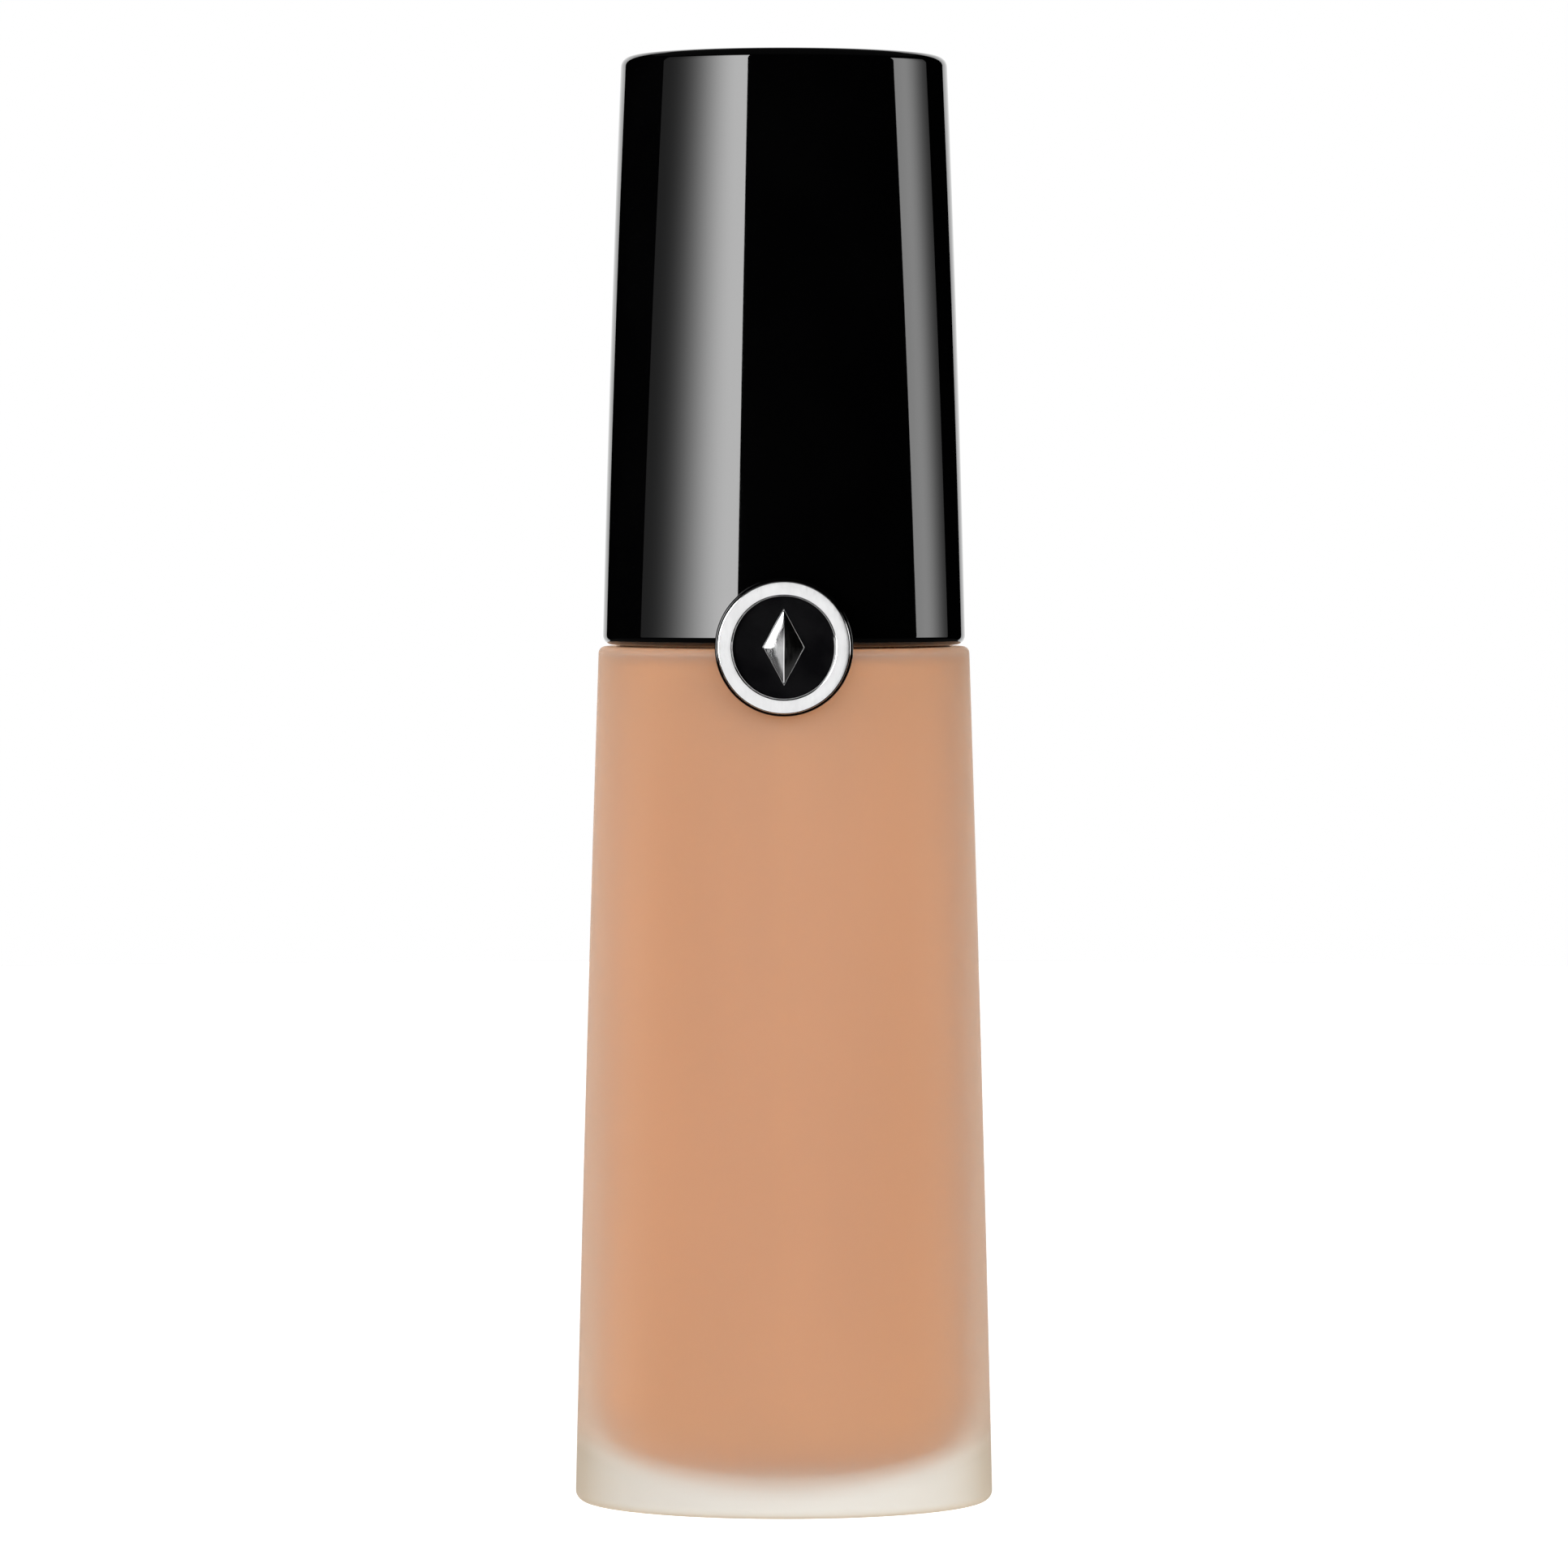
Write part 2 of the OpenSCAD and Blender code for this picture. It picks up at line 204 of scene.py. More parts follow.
def new_object(name, points, faces):
    """A closed mesh from points in millimetres, with its faces turned outwards."""
    mesh = bpy.data.meshes.new(name)
    mesh.from_pydata([Vector(p) * MM for p in points], [], faces)
    shape = bmesh.new()
    shape.from_mesh(mesh)
    bmesh.ops.recalc_face_normals(shape, faces=shape.faces)
    shape.to_mesh(mesh)
    shape.free()
    piece = bpy.data.objects.new(name, mesh)
    bpy.context.scene.collection.objects.link(piece)
    return piece


def skin(name, rings, first, last):
    """A closed solid through rings of points, drawn to a point at either end."""
    sides = len(rings[0])
    points = [first] + [p for ring in rings for p in ring] + [last]
    faces = []
    for i in range(sides):
        j = (i + 1) % sides
        faces.append((0, 1 + j, 1 + i))
        for k in range(len(rings) - 1):
            a, b = 1 + k * sides, 1 + (k + 1) * sides
            faces.append((a + i, a + j, b + j, b + i))
        a = 1 + (len(rings) - 1) * sides
        faces.append((a + i, a + j, len(points) - 1))
    return new_object(name, points, faces)


def loft(name, rings, sides=SIDES, first_z=None, last_z=None):
    """A solid through oval rings (half width, half depth, z), with flat ends unless a height is given."""
    turns = [math.tau * i / sides for i in range(sides)]
    ovals = [[(rx * math.cos(a), ry * math.sin(a), z) for a in turns] for rx, ry, z in rings]
    first_z = rings[0][2] if first_z is None else first_z
    last_z = rings[-1][2] if last_z is None else last_z
    return skin(name, ovals, (0, 0, first_z), (0, 0, last_z))


def closed_loop(name, rings):
    """A solid with a hole through it, whose last ring of points runs back into its first."""
    sides = len(rings[0])
    points = [p for ring in rings for p in ring]
    faces = []
    for k in range(len(rings)):
        a, b = k * sides, (k + 1) % len(rings) * sides
        faces += [(a + i, a + (i + 1) % sides, b + (i + 1) % sides, b + i) for i in range(sides)]
    return new_object(name, points, faces)


def lathe(name, profile, sides=FINE):
    """A solid turned about Z from (radius, z) points. The first and last points lie off the axis."""
    return loft(name, [(r, r, z) for r, z in profile], sides)


def arc(r, z, radius, start, end, steps=STEPS):
    """Points (r, z) round a quarter or part of a circle, with angles in degrees from outwards."""
    angles = [math.radians(start + (end - start) * i / steps) for i in range(steps + 1)]
    return [(r + radius * math.cos(a), z + radius * math.sin(a)) for a in angles]


def edge(half, inset_z):
    """Rings at (inset, z) pairs, drawn in from the half width and half depth at each height."""
    rings = []
    for inset, z in inset_z:
        rx, ry = half(z)
        rings.append((rx - inset, ry - inset, z))
    return rings


def low_edge(half, z, radius, inset=0.0, steps=STEPS):
    """Rings from a solid's underside out and up round its lower edge."""
    turns = [math.radians(90 * i / steps) for i in range(steps + 1)]
    round_edge = [(inset + radius * (1 - math.sin(a)), z + radius * (1 - math.cos(a))) for a in turns]
    return edge(half, round_edge + [(inset, z + radius + SUPPORT)])


def high_edge(half, z, radius, inset=0.0, steps=STEPS):
    """Rings up and in round a solid's upper edge."""
    turns = [math.radians(90 * i / steps) for i in range(steps + 1)]
    round_edge = [(inset + radius * (1 - math.cos(a)), z - radius * (1 - math.sin(a))) for a in turns]
    return edge(half, [(inset, z - radius - SUPPORT)] + round_edge)


def wall(half, low, high, inset=0.0, steps=24):
    """Rings between two heights, without the two ends."""
    heights = [low + (high - low) * i / steps for i in range(1, steps)]
    return edge(half, [(inset, z) for z in heights])


def combine(piece, tool, operation):
    """Joins the tool to the piece, or cuts it away, and removes the tool."""
    change = piece.modifiers.new("change", "BOOLEAN")
    change.operation = operation
    change.object = tool
    change.solver = "EXACT"
    bpy.context.view_layer.update()
    evaluated = piece.evaluated_get(bpy.context.evaluated_depsgraph_get())
    mesh = bpy.data.meshes.new_from_object(evaluated)
    shape = bmesh.new()
    shape.from_mesh(mesh)
    bmesh.ops.remove_doubles(shape, verts=shape.verts, dist=WELD * MM)
    shape.to_mesh(mesh)
    shape.free()
    piece.modifiers.clear()
    piece.data = mesh
    mesh.name = piece.name
    bpy.data.objects.remove(tool)
    return piece


def round_off(shape, edges, offset):
    """Rounds edges of a mesh in the making."""
    bmesh.ops.bevel(shape, geom=edges, offset=offset, segments=3, profile=0.5, affect="EDGES")


def block(name, low, high, bevel=0.0):
    """A block between two corners, with its edges rounded off."""
    shape = bmesh.new()
    bmesh.ops.create_cube(shape, size=1)
    size, middle = Vector(high) - Vector(low), (Vector(high) + Vector(low)) / 2
    for v in shape.verts:
        v.co = Vector([c * s for c, s in zip(v.co, size)]) + middle
    if bevel:
        round_off(shape, shape.edges[:], bevel)
    for v in shape.verts:
        v.co *= MM
    mesh = bpy.data.meshes.new(name)
    shape.to_mesh(mesh)
    shape.free()
    piece = bpy.data.objects.new(name, mesh)
    bpy.context.scene.collection.objects.link(piece)
    return piece


def to_front(piece, y):
    """Turns what was built upwards from Z = 0 to face -Y, on the medallion's middle at depth y."""
    for v in piece.data.vertices:
        v.co = Vector((v.co.x, y * MM - v.co.z, medal_z * MM + v.co.y))
    piece.data.update()
    return piece


def finish_piece(piece, body, nodes, material, sharp=32):
    """Shades a piece, gives it its material and its body, and hides the CAD nodes that it stands for."""
    piece.data.shade_smooth()
    piece.data.set_sharp_from_angle(angle=math.radians(sharp))
    piece.data.materials.clear()
    piece.data.materials.append(material)
    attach(piece, body)
    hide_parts(*nodes)
    return piece


# ---------------------------------------------------------------- materials

class Nodes:
    """A material's node tree, with short calls for what the materials here share."""

    def __init__(self, name):
        self.material = bpy.data.materials.new(name)
        self.material.use_nodes = True
        self.tree = self.material.node_tree
        self.shader = self.tree.nodes["Principled BSDF"]
        self.place = self.add("ShaderNodeTexCoord").outputs["Object"]

    def add(self, kind, **settings):
        node = self.tree.nodes.new(kind)
        for key, value in settings.items():
            setattr(node, key, value)
        return node

    def link(self, source, target):
        self.tree.links.new(source, target)

    def set(self, **values):
        for key, value in values.items():
            self.shader.inputs[key.replace("_", " ")].default_value = value

    def stretch(self, scale):
        """The object's coordinates, stretched by a scale for each axis."""
        mapping = self.add("ShaderNodeMapping")
        mapping.inputs["Scale"].default_value = scale
        self.link(self.place, mapping.inputs["Vector"])
        return mapping.outputs["Vector"]

    def noise(self, size, detail=2.0, place=None):
        """Noise whose features are about size millimetres across."""
        node = self.add("ShaderNodeTexNoise")
        node.inputs["Scale"].default_value = 1 / (size * MM)
        node.inputs["Detail"].default_value = detail
        self.link(place or self.place, node.inputs["Vector"])
        return node.outputs["Fac"]

    def span(self, value, low, high, start=0.3, end=0.7):
        """Maps a noise value to a range of numbers."""
        node = self.add("ShaderNodeMapRange")
        node.inputs["From Min"].default_value = start
        node.inputs["From Max"].default_value = end
        node.inputs["To Min"].default_value = low
        node.inputs["To Max"].default_value = high
        self.link(value, node.inputs["Value"])
        return node.outputs["Result"]

    def shades(self, value, low, high):
        """Maps a noise value to a range of colours."""
        node = self.add("ShaderNodeValToRGB")
        node.color_ramp.elements[0].position = 0.35
        node.color_ramp.elements[0].color = (*low, 1)
        node.color_ramp.elements[1].position = 0.65
        node.color_ramp.elements[1].color = (*high, 1)
        self.link(value, node.inputs["Fac"])
        return node.outputs["Color"]

    def times(self, first, second):
        """The product of two numbers."""
        node = self.add("ShaderNodeMath", operation="MULTIPLY")
        self.link(first, node.inputs[0])
        self.link(second, node.inputs[1])
        return node.outputs["Value"]

    def tint(self, colour, by, share):
        """Multiplies a colour by another, by a share from 0 to 1."""
        node = self.add("ShaderNodeMix", data_type="RGBA", blend_type="MULTIPLY")
        share_in, colour_in, by_in = [s for s in node.inputs if s.enabled]
        by_in.default_value = (*by, 1)
        self.link(share, share_in)
        self.link(colour, colour_in)
        return next(s for s in node.outputs if s.enabled)

    def roughness(self, value):
        self.link(value, self.shader.inputs["Roughness"])

    def colour(self, value):
        self.link(value, self.shader.inputs["Base Color"])

    def bump(self, height, depth, strength=0.3):
        """Bump of a depth in millimetres."""
        node = self.add("ShaderNodeBump")
        node.inputs["Strength"].default_value = strength
        node.inputs["Distance"].default_value = depth * MM
        self.link(height, node.inputs["Height"])
        self.link(node.outputs["Normal"], self.shader.inputs["Normal"])


def above_foot(n):
    """From 0 in the glass's thick foot to 1 in its walls, across a band that climbs towards the sides."""
    climb, start, end = 12, 1.2 * MM, 3.4 * MM
    at = n.add("ShaderNodeSeparateXYZ")
    n.link(n.place, at.inputs["Vector"])
    square = n.times(at.outputs["X"], at.outputs["X"])
    bowed = n.add("ShaderNodeMath", operation="MULTIPLY_ADD")
    bowed.inputs[1].default_value = -climb
    n.link(square, bowed.inputs[0])
    n.link(at.outputs["Z"], bowed.inputs[2])
    return n.span(bowed.outputs["Value"], 0, 1, start, end)


def frosted_glass():
    """Acid-etched glass: a fine even grain, light let through to what it holds, a milky foot, and painted
    shade towards its edges.
    """
    n = Nodes("frosted_glass")
    n.set(IOR=1.5)
    above = above_foot(n)
    n.link(n.span(above, 0.22, 0.87, 0, 1), n.shader.inputs["Transmission Weight"])
    skim = n.add("ShaderNodeLayerWeight")
    skim.inputs["Blend"].default_value = 0.5
    facing = skim.outputs["Facing"]
    colour = n.shades(above, (0.99, 0.985, 0.92), (0.94, 0.90, 0.82))
    # Painted shade: darker and warmer where the glass turns away from the view, standing in for light's
    # longer way through it.
    colour = n.tint(colour, (0.93, 0.86, 0.78), n.span(facing, 0.0, 1.0, 0.25, 0.85))
    # More painted shade round the foot's edges, fading out up the walls.
    foot_edge_shade = n.times(n.span(facing, 0.0, 1.0, 0.03, 0.6), n.span(above, 1, 0, 0, 1))
    n.colour(n.tint(colour, (0.88, 0.82, 0.74), foot_edge_shade))
    n.roughness(n.span(n.noise(0.9, 3), 0.58, 0.64))
    n.bump(n.noise(0.12, 2), 0.004, 0.25)
    ray = n.add("ShaderNodeLightPath").outputs["Is Shadow Ray"]
    clear = n.add("ShaderNodeBsdfTransparent")
    clear.inputs["Color"].default_value = (0.9, 0.88, 0.86, 1)
    mix = n.add("ShaderNodeMixShader")
    n.link(ray, mix.inputs["Fac"])
    n.link(n.shader.outputs["BSDF"], mix.inputs[1])
    n.link(clear.outputs["BSDF"], mix.inputs[2])
    n.link(mix.outputs["Shader"], n.tree.nodes["Material Output"].inputs["Surface"])
    return n.material


def foundation():
    """The liquid: dense pigment with faint streaks where it has moved down the glass."""
    n = Nodes("foundation")
    streaks = n.noise(5, 3, n.stretch((1.6, 1.6, 0.25)))
    n.colour(n.shades(streaks, (0.595, 0.262, 0.082), (0.625, 0.277, 0.090)))
    n.set(Specular_IOR_Level=0.0)
    n.roughness(n.span(n.noise(0.6), 0.55, 0.65))
    return n.material


def black_gloss():
    """Injection-moulded black plastic with a polished skin and a few faint hairlines."""
    n = Nodes("black_gloss")
    n.colour(n.shades(n.noise(8, 2), (0.0005, 0.0005, 0.0006), (0.0008, 0.0008, 0.0009)))
    hairlines = n.noise(0.35, 4, n.stretch((1, 1, 0.06)))
    n.roughness(n.span(hairlines, 0.015, 0.04))
    n.set(IOR=1.5)
    n.bump(n.noise(9, 1), 0.002, 0.2)
    return n.material


def bright_chrome():
    """Plated metal, polished, with a fine grain in its finish."""
    n = Nodes("bright_chrome")
    n.colour(n.shades(n.noise(1.5, 3), (0.82, 0.82, 0.825), (0.88, 0.88, 0.885)))
    n.set(Metallic=1.0)
    n.roughness(n.span(n.noise(0.15, 4, n.stretch((1, 1, 0.2))), 0.10, 0.16))
    n.bump(n.noise(0.4, 2), 0.001, 0.15)
    return n.material


def black_lacquer():
    """Poured black lacquer with the soft swell that surface tension leaves."""
    n = Nodes("black_lacquer")
    n.colour(n.shades(n.noise(2, 2), (0.003, 0.003, 0.0035), (0.006, 0.006, 0.0065)))
    n.roughness(n.span(n.noise(0.5, 3), 0.03, 0.07))
    n.bump(n.noise(1.6, 1), 0.01, 0.3)
    return n.material


def plastic(name, low, high, roughness, grain=0.25, soft=0.0):
    """Moulded plastic: a narrow range of colour, an even grain, and some light let into it."""
    n = Nodes(name)
    n.colour(n.shades(n.noise(3, 3), low, high))
    n.roughness(n.span(n.noise(grain, 3), roughness - 0.05, roughness + 0.05))
    n.bump(n.noise(grain, 2), 0.006, 0.2)
    if soft:
        n.set(Subsurface_Weight=soft, Subsurface_Scale=0.8 * MM)
        n.shader.inputs["Subsurface Radius"].default_value = (1.0, 0.6, 0.4)
    return n.material


def turned_steel():
    """A turned slug: fine rings across its ends and round its side."""
    n = Nodes("weight_steel")
    n.colour(n.shades(n.noise(2, 4), (0.36, 0.36, 0.37), (0.48, 0.48, 0.49)))
    n.set(Metallic=1.0)
    n.roughness(n.span(n.noise(0.3, 4, n.stretch((0.2, 0.2, 4))), 0.25, 0.42))
    n.bump(n.noise(0.2, 3, n.stretch((0.2, 0.2, 5))), 0.01, 0.3)
    return n.material


def flock():
    """Short nylon fibres that stand off the tip, with painted shade down among them and a painted highlight
    at their ends.
    """
    n = Nodes("flock")
    fibres = n.noise(0.05, 4)
    # The colour follows the same noise as the bump: painted shade in its hollows, painted highlight on its
    # tops.
    n.colour(n.shades(fibres, (0.42, 0.25, 0.16), (0.78, 0.58, 0.44)))
    n.set(Roughness=0.95, Sheen_Weight=0.8, Sheen_Roughness=0.4, Specular_IOR_Level=0.15)
    n.bump(fibres, 0.12, 0.8)
    return n.material


def label_paper():
    """Coated white label stock, blank."""
    n = Nodes("label_paper")
    n.colour(n.shades(n.noise(0.2, 4), (0.80, 0.79, 0.77), (0.86, 0.855, 0.84)))
    n.roughness(n.span(n.noise(0.1, 3), 0.45, 0.6))
    n.bump(n.noise(0.08, 3), 0.004, 0.3)
    return n.material


materials = {
    "frosted_glass": frosted_glass(),
    "foundation": foundation(),
    "black_gloss": black_gloss(),
    "bright_chrome": bright_chrome(),
    "black_lacquer": black_lacquer(),
    "natural_plastic": plastic("natural_plastic", (0.54, 0.29, 0.17), (0.58, 0.32, 0.19), 0.3, soft=0.2),
    "soft_plastic": plastic("soft_plastic", (0.66, 0.56, 0.46), (0.72, 0.62, 0.52), 0.4, soft=0.4),
    "liner_plastic": plastic("liner_plastic", (0.30, 0.30, 0.31), (0.36, 0.36, 0.37), 0.38),
    "weight_steel": turned_steel(),
    "washer_rubber": plastic("washer_rubber", (0.70, 0.69, 0.67), (0.78, 0.77, 0.75), 0.6),
    "stem_plastic": plastic("stem_plastic", (0.045, 0.045, 0.048), (0.06, 0.06, 0.063), 0.25),
    "flock": flock(),
    "label_paper": label_paper(),
}


# ---------------------------------------------------------------- the bottle

def make_glass():
    """The heavy glass body: round edges, a cavity with a deep round floor, and a dome under its foot."""
    top = glass_high.z
    mouth_z = insert_low.z
    cavity = fill_low.z - SKIN
    mouth = (insert_high.x + 3 * FIT, insert_high.y + 3 * FIT)
    inset = -SKIN
    foot_x, foot_y = body_half(0)

    def dome(share):
        return (foot_x * share, foot_y * share, PUSH_UP * (1 - share ** 2) ** 0.5)

    rings = [dome(share) for share in DOME]
    rings += [(foot_x * share, foot_y * share, z) for share, z in DOME_LIP]
    rings += low_edge(body_half, 0, FOOT_R)
    rings += wall(body_half, FOOT_R, top - SHOULDER_R)
    rings += high_edge(body_half, top, SHOULDER_R)
    lip_edge = arc(MOUTH_R, top - MOUTH_R, MOUTH_R, 90, 180, 4)
    rings += [(mouth[0] + r, mouth[1] + r, z) for r, z in lip_edge]
    rings += [(*mouth, mouth_z)]
    lip = fill_half(mouth_z)
    rings += [(lip[0] + SKIN, lip[1] + SKIN, mouth_z)]
    rings += list(reversed(wall(fill_half, cavity + CAVITY_R, mouth_z, inset)))
    rings += list(reversed(low_edge(fill_half, cavity, CAVITY_R, inset, CAVITY_STEPS)))
    return loft("bottle_glass", rings, last_z=cavity)


def make_fill():
    """The liquid, a little larger than the cavity so that it wets the glass, with room for the wand."""
    inset = -SKIN - WETTING
    low, high = fill_low.z - SKIN - WETTING, fill_high.z
    rings = low_edge(fill_half, low, CAVITY_R, inset, CAVITY_STEPS)
    rings += wall(fill_half, low + CAVITY_R, high, inset)
    rings += edge(fill_half, [(inward, high) for inward in (inset, *FILL_TOP)])
    channel_floor = tip_low.z - 2 * CHANNEL_GAP
    rings += [(CHANNEL_R, CHANNEL_R, high)]
    heights = [high + (channel_floor - high) * i / CHANNEL_STEPS for i in range(1, CHANNEL_STEPS)]
    rings += [(CHANNEL_R, CHANNEL_R, z) for z in heights]
    bowl = arc(0, channel_floor + CHANNEL_R, CHANNEL_R, 0, -80)
    rings += [(r, r, z) for r, z in bowl if z < heights[-1]]
    return loft("foundation_liquid", rings)


def make_neck_insert():
    """The plug in the mouth: an oval flange and step, the round neck with its bead, and two keys."""
    low, high, top = insert_low.z, glass_high.z, insert_high.z
    flange = (insert_high.x, insert_high.y)
    step = (flange[0] - STEP_IN, flange[1] - STEP_IN)
    neck_r = ring_near("neck_insert", top)[2]
    bead_z = top - BEAD_DOWN
    turns = range(BEAD_STEPS + 1)

    def plate(size, z0, z1, r):
        def half(_):
            return size
        return low_edge(half, z0, r, steps=3) + high_edge(half, z1, r, steps=3)

    def flank(z, way):
        """One side of the bead: way is -1 where it swells, and 1 where it falls back."""
        rise = (0.5 + way * 0.5 * math.cos(math.pi * i / BEAD_STEPS) for i in turns)
        return [(neck_r + BEAD_RISE * share, z + BEAD_STEP * i) for i, share in enumerate(rise)]

    upper = plate(step, high - 0.1, high + STEP_H, STEP_R)[4:]
    piece = loft("neck_plug", plate(flange, low, high, FLANGE_R) + upper)
    profile = [(neck_r, low + 0.3), (neck_r, bead_z - 1.1)]
    profile += flank(bead_z - 0.9, -1) + flank(bead_z + 0.3, 1)
    profile += [(neck_r, bead_z + 1.1), (neck_r, top - NECK_EDGE - 0.1)]
    profile += arc(neck_r - NECK_EDGE, top - NECK_EDGE, NECK_EDGE, 0, 90, 6)
    combine(piece, lathe("neck", profile), "UNION")
    length, width, height = KEY
    combine(piece, block("key", (-length, -width, high), (length, width, high + height), KEY_EDGE), "UNION")
    seat_at, seat_depth = WIPER_SEAT
    ledge = top - seat_depth
    bore = [(NECK_BORE, low - 1), (NECK_BORE, ledge), (seat_at, ledge), (seat_at, top + 1)]
    combine(piece, lathe("bore", bore), "DIFFERENCE")
    return piece


def make_wiper():
    """A soft sleeve with a flange on the neck, a funnel and a thin wiping lip."""
    low, high = wiper_low.z, wiper_high.z
    outer, inner = SLEEVE
    flange, under = wiper_high.x, high - SLEEVE_FLANGE
    outer_r, inner_r = 0.25, 0.3
    profile = [(LIP + 0.3, low), (LIP + 0.8, low + 0.12), (outer, low + 1.8), (outer, under)]
    profile += [(flange - 0.1, under), (flange, high - 0.7)]
    profile += arc(flange - outer_r, high - outer_r, outer_r, 0, 90, 4)
    profile += arc(inner + inner_r, high - inner_r, inner_r, 90, 180, 5)
    profile += [(inner, low + 2.6), (inner - 0.1, low + 2.3), (LIP + 0.1, low + 0.62), (LIP, low + 0.45)]
    profile += [(LIP, low + 0.12)]
    return tube("wiper_sleeve", profile)


def tube(name, profile, sides=FINE):
    """A turned solid with a hole through it: the profile is a closed loop of (radius, z) points."""
    turns = [math.tau * i / sides for i in range(sides)]
    return closed_loop(name, [[(r * math.cos(a), r * math.sin(a), z) for a in turns] for r, z in profile])


# ---------------------------------------------------------------- the cap

def cap_front(x, z):
    """Depth of the cap's front at width x and height z, with its rounded rim."""
    z = max(z, cap_low.z + FIT)
    drop = max(0.0, cap_low.z + RIM_R - z)
    inset = RIM_R - math.sqrt(RIM_R ** 2 - min(drop, RIM_R) ** 2)
    rx, ry = cap_half(z)
    return -(ry - inset) * math.sqrt(1 - (x / (rx - inset)) ** 2)


def make_boss():
    """The round boss that carries the medallion, with a soft fillet where it leaves the wall."""
    rings = []
    turns = [math.tau * i / SIDES for i in range(SIDES)]

    def at(radius, depth):
        """A ring of the boss: depth is a function of the turn, or one number."""
        depths = [depth(a) if callable(depth) else depth for a in turns]
        return [(radius * math.cos(a), y, medal_z + radius * math.sin(a)) for a, y in zip(turns, depths)]

    def surface(radius, lift=0.0):
        return lambda a: cap_front(radius * math.cos(a), medal_z + radius * math.sin(a)) - lift

    flare = pad_r + PAD_FILLET
    back = -cap_half(cap_low.z)[1] + PAD_ROOT
    rings += [at(flare * s, back) for s in (0.5, 1.0)]
    rings += [at(flare, surface(flare, -FIT))]
    for i in range(1, STEPS + 1):
        t = i / STEPS
        radius = (1 - t) ** 2 * flare + (1 - (1 - t) ** 2) * pad_r
        foot, root, top = surface(flare), surface(pad_r), surface(pad_r, PAD_FILLET)
        rings += [at(radius, lambda a, t=t, f=foot, r=root, p=top:
                     (1 - t) ** 2 * f(a) + 2 * t * (1 - t) * r(a) + t ** 2 * p(a))]
    rings += [at(pad_r, pad_y + PAD_EDGE)]
    rings += [at(r, pad_y + PAD_EDGE - z) for r, z in arc(pad_r - PAD_EDGE, 0, PAD_EDGE, 15, 90, 5)]
    rings += [at(pad_r * 0.5, pad_y)]
    return skin("boss", rings, (0, back, medal_z), (0, pad_y, medal_z))


def make_cap():
    """The outer cap: a round top that turns oval towards the rim, hollow, with the boss on its front."""
    low, high = cap_low.z, cap_high.z
    ceiling = high - CEILING
    rings = [(r, r, ceiling) for r in CEILING_RINGS]
    rings += list(reversed(ceiling_corner(ceiling)))
    rings += list(reversed(wall(cap_half, low, ceiling - 0.8, WALL)))
    rings += edge(cap_half, [(WALL, low + MOUTH_BREAK), (WALL - MOUTH_BREAK, low)])
    rings += low_edge(cap_half, low, RIM_R)
    boss_top = medal_z + pad_r + 2 * PAD_FILLET
    rings += wall(cap_half, low + RIM_R, boss_top)
    rings += wall(cap_half, boss_top, high - TOP_R, steps=32)
    top = high_edge(cap_half, high - TOP_CROWN, TOP_R)
    rings += top
    last = top[-1][0]
    rings += [(last * share, last * share, high - TOP_CROWN * share ** 2) for share in TOP_RINGS]
    piece = loft("outer_cap", rings, last_z=high)
    boss = make_boss()
    reach, front, back = 8, pad_y - 3, -4
    below_rim = block("trim", (-reach, front, medal_z - reach), (reach, back, low + BOSS_GAP))
    combine(boss, below_rim, "DIFFERENCE")
    combine(piece, boss, "UNION")
    for side in (-1, 1):
        hole = lathe("hole", [(PIN_R + FIT, -4), (PIN_R + FIT, 1)], HOLE_SIDES)
        for v in hole.data.vertices:
            v.co += Vector((side * PIN_X, PIN_UP, 0)) * MM
        combine(piece, to_front(hole, pad_y), "DIFFERENCE")
    return piece


def ceiling_corner(ceiling):
    """Rings round the inner corner between the cap's wall and its ceiling."""
    steps = 4
    turns = [math.radians(90 * i / steps) for i in range(steps + 1)]
    r = CEILING_R
    corner = [(WALL + r * (1 - math.cos(a)), ceiling - r * (1 - math.sin(a))) for a in turns]
    return edge(cap_half, corner)


def make_wand():
    """The stem: a head for the inner cap, a plug that fills the wiper, and a slim rod."""
    low, high = stem_low.z, stem_high.z
    collar = stem_high.x
    top = insert_high.z
    profile = [(0.8, low)] + arc(ROD_R - 0.2, low + 0.2, 0.2, -90, 0, 4)
    profile += arc(ROD_R + 0.5, top - TAPER_DOWN, 0.5, 180, 125, 4)
    profile += arc(PLUG_R - 0.4, top - PLUG_DOWN, 0.4, -35, 0, 3)
    profile += [(PLUG_R, top + 0.1), (collar - 0.1, top + 0.1), (collar, top + 0.2)]
    profile += [(collar, top + COLLAR_T)]
    profile += [(HEAD_R, top + COLLAR_T), (HEAD_R, high - 0.15), (HEAD_R - 0.15, high), (1.0, high)]
    return lathe("wand", profile)


